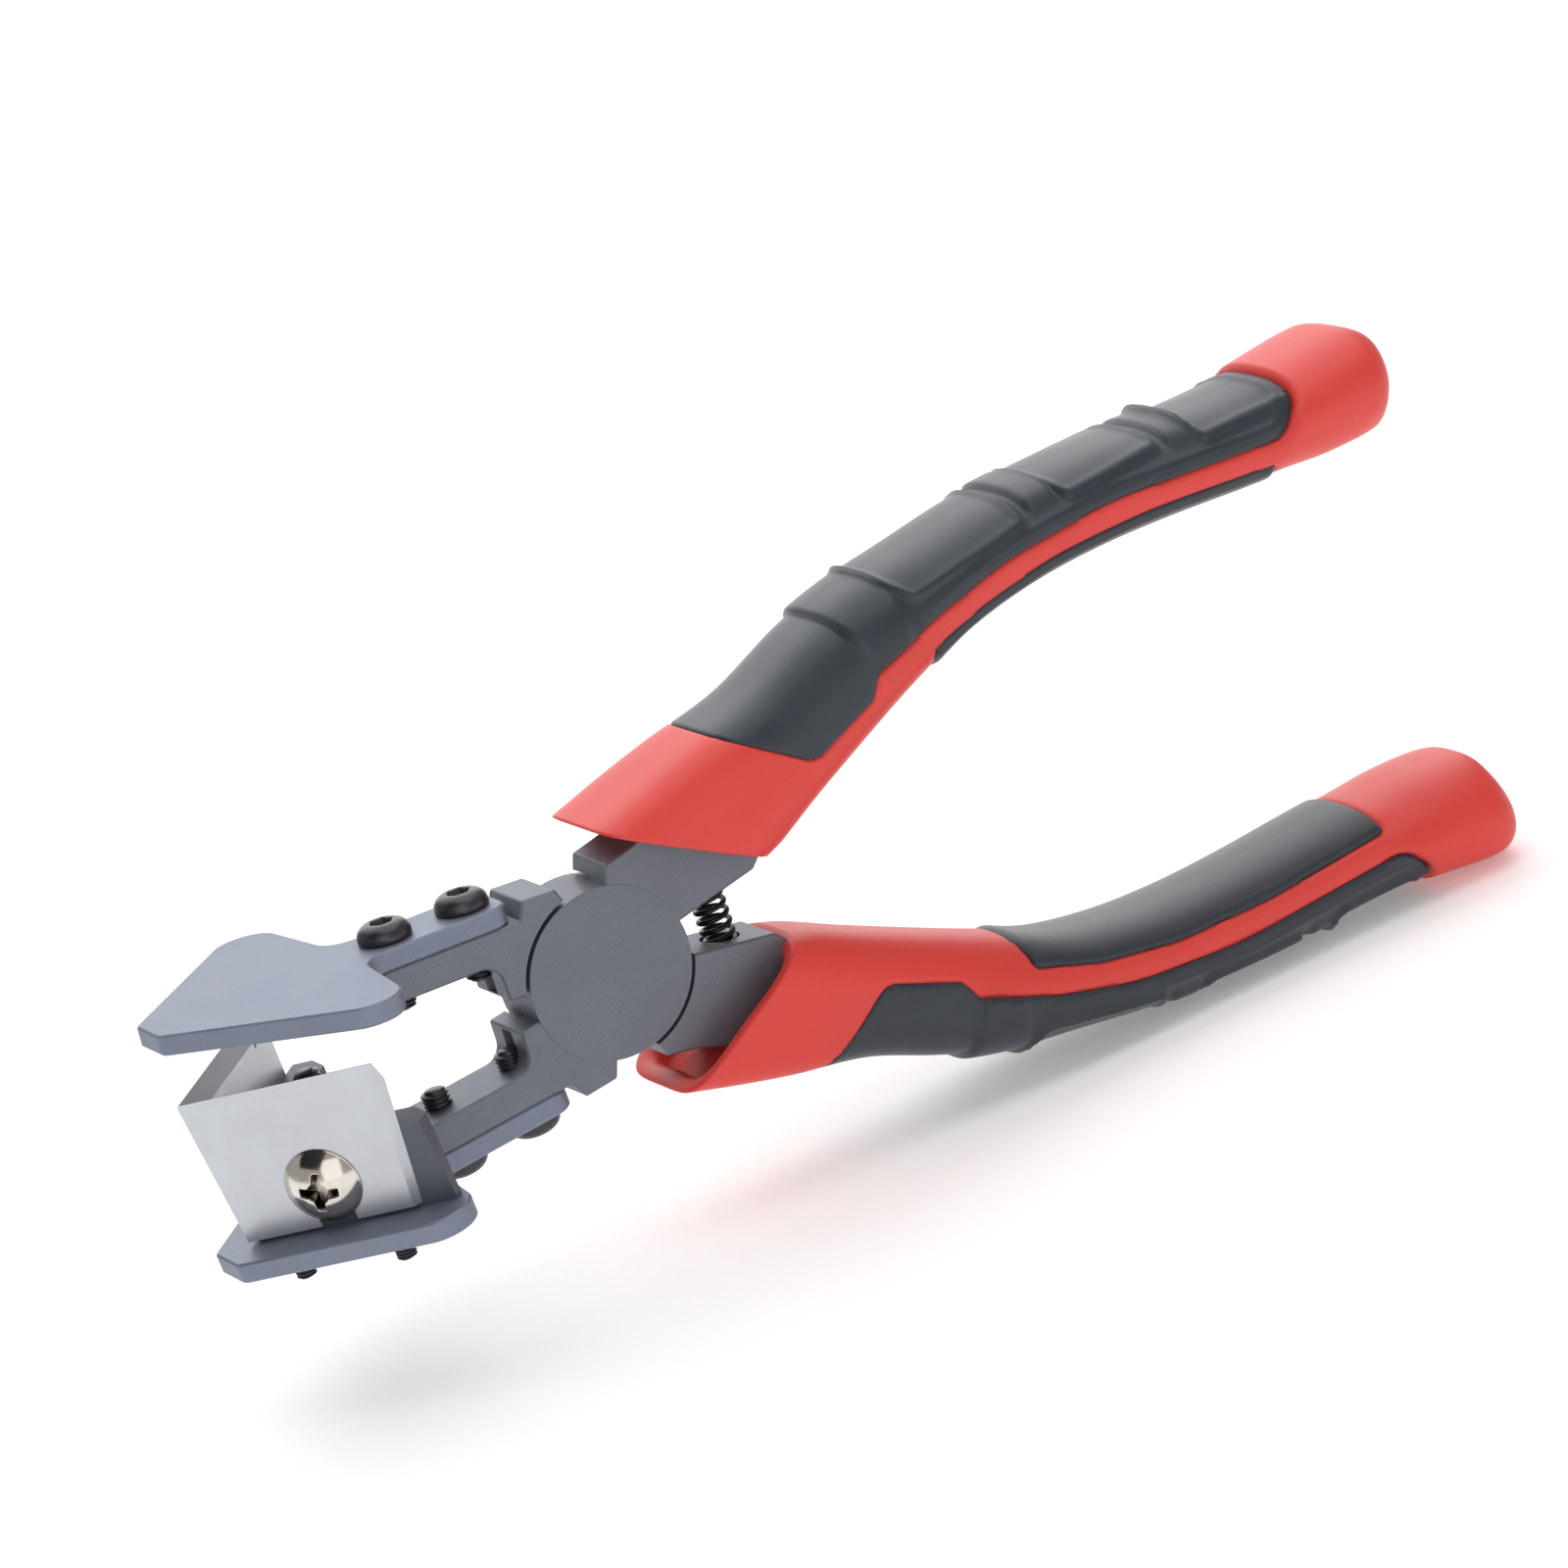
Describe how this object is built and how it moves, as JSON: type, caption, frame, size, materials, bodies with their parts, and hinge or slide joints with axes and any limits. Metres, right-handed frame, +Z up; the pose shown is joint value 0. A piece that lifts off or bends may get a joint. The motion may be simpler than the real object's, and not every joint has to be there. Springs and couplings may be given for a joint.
{
  "type": "tile nippers",
  "caption": "Two-handled hand nippers with a V-shaped blade on the lower jaw closing on a flat arrow-shaped anvil plate, sprung open, with two-part moulded grips.",
  "frame": {"origin": "on the pivot axis, at the front round face of the lap joint", "axes": "+X from the jaws to the handle ends, +Y from the front joint face through the head along the pivot axis, +Z up from the lower jaw to the upper jaw"},
  "size_m": [0.2074, 0.052, 0.0832],
  "materials": {
    "head_steel": "grey phosphate on a forging, satin",
    "plate_steel": "grey phosphate on ground plate, satin",
    "holder_steel": "grey phosphate, satin",
    "blade_steel": "ground bright steel",
    "nickel_screw": "polished nickel plate",
    "black_screw": "black oxide, oiled",
    "spring_steel": "black oxide wire",
    "red_plastic": "hard moulded plastic, semi-gloss",
    "soft_dark": "soft moulded elastomer, matt"
  },
  "bodies": {
    "lower_jaw": {"lower_jaw_lever": "head_steel", "pivot_rivet": "head_steel", "return_spring": "spring_steel", "base_plate": "plate_steel", "base_screw_outer": "black_screw", "base_screw_inner": "black_screw", "holder_clamp_screw": "black_screw", "blade_holder": "holder_steel", "holder_screws": "black_screw", "v_blade": "blade_steel", "blade_screw_front": "nickel_screw", "blade_screw_rear": "nickel_screw", "upper_grip_body": "red_plastic", "upper_grip_cover": "soft_dark", "upper_grip_pad": "soft_dark"},
    "upper_jaw": {"upper_jaw_lever": "head_steel", "anvil_plate": "plate_steel", "anvil_screw_outer": "black_screw", "anvil_screw_inner": "black_screw", "lower_grip_body": "red_plastic", "lower_grip_cover": "soft_dark", "lower_grip_pad": "soft_dark"}
  },
  "joints": [
    {"name": "lever_pivot", "type": "hinge", "parent": "lower_jaw", "child": "upper_jaw", "pos_m": [0, 0.0056, 0], "axis": [0, -1, 0], "range_deg": [-10, 7.4], "stiffness_Nm_per_rad": 0.4, "deforming": ["return_spring"]}
  ]
}
